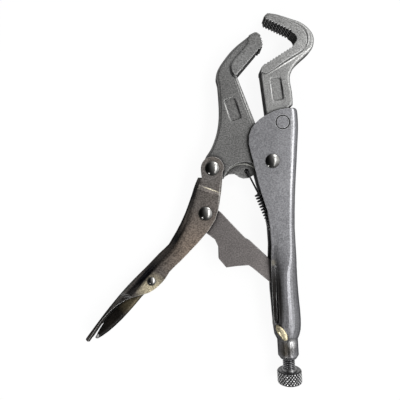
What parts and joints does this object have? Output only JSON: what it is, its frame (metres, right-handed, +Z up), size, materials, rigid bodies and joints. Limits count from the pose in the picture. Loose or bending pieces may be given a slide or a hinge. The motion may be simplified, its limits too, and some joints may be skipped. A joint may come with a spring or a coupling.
{
  "type": "sway bar pliers",
  "caption": "Locking pliers with a hooked toothed fixed jaw, pivoting nose jaw, channel handles, toggle link, release lever and screw adjuster, lying flat and open",
  "frame": {"origin": "centre of the bounding box's bottom face, so that the tool lies on the plane Z = 0 on its rivet heads", "axes": "+Y towards the jaws along the tool's length, +X towards the fixed handle's back, +Z up through the pivots"},
  "size_m": [0.1531, 0.2494, 0.0188],
  "materials": {
    "jaw_steel": "satin, bead-blasted nickel-plated forged steel",
    "shell_steel": "satin nickel-plated pressed sheet steel",
    "grip_steel": "satin nickel-plated pressed sheet steel, slightly warm",
    "rivet_steel": "polished domed rivet heads",
    "screw_steel": "dark phosphated steel",
    "spring_steel": "black oiled spring wire"
  },
  "bodies": {
    "frame": {"fixed_handle": "shell_steel", "fixed_jaw": "jaw_steel", "fixed_jaw_rivet": "shell_steel", "jaw_pivot_rivet": "rivet_steel", "screw_nut": "screw_steel", "return_spring": "spring_steel"},
    "jaw": {"movable_jaw": "jaw_steel"},
    "grip": {"operating_handle": "grip_steel", "handle_pivot_rivet": "rivet_steel", "link_rivet": "rivet_steel", "lever_rivet": "rivet_steel"},
    "link": {"toggle_link": "grip_steel"},
    "lever": {"release_lever": "grip_steel"},
    "screw": {"adjusting_screw": "screw_steel"},
    "knob": {"knurled_knob": "screw_steel"}
  },
  "joints": [
    {"name": "jaw_pivot", "type": "hinge", "parent": "frame", "child": "jaw", "pos_m": [0.0479, 0.0258, 0.0094], "axis": [0, 0, -1], "range_deg": [0, 10.4], "stiffness_Nm_per_rad": 0.5, "springref_deg": -8.59, "deforming": ["return_spring"]},
    {"name": "handle_pivot", "type": "hinge", "parent": "jaw", "child": "grip", "pos_m": [0.008, 0.0209, 0.0094], "axis": [0, 0, 1], "range_deg": [0, 25.1]},
    {"name": "link_pivot", "type": "hinge", "parent": "grip", "child": "link", "pos_m": [0.00357, -0.00907, 0.0094], "axis": [0, 0, -1], "range_deg": [0, 22.6]},
    {"name": "lever_pivot", "type": "hinge", "parent": "grip", "child": "lever", "pos_m": [-0.03229, -0.05408, 0.0094], "axis": [0, 0, 1], "range_deg": [-1, 6]},
    {"name": "screw_travel", "type": "slide", "parent": "frame", "child": "screw", "axis": [0.0593, -0.9982, 0], "range_m": [0, 0.015]},
    {"name": "knob_spin", "type": "hinge", "parent": "screw", "child": "knob", "pos_m": [0.06062, -0.11396, 0.0094], "axis": [0.0593, -0.9982, 0], "range_deg": [0, 4325]}
  ],
  "couplings": [
    {"joint": "handle_pivot", "follows": "jaw_pivot", "ratio": 2.41},
    {"joint": "link_pivot", "follows": "jaw_pivot", "ratio": 2.17},
    {"joint": "knob_spin", "follows": "screw_travel", "rad_per_m": 5026.5}
  ]
}
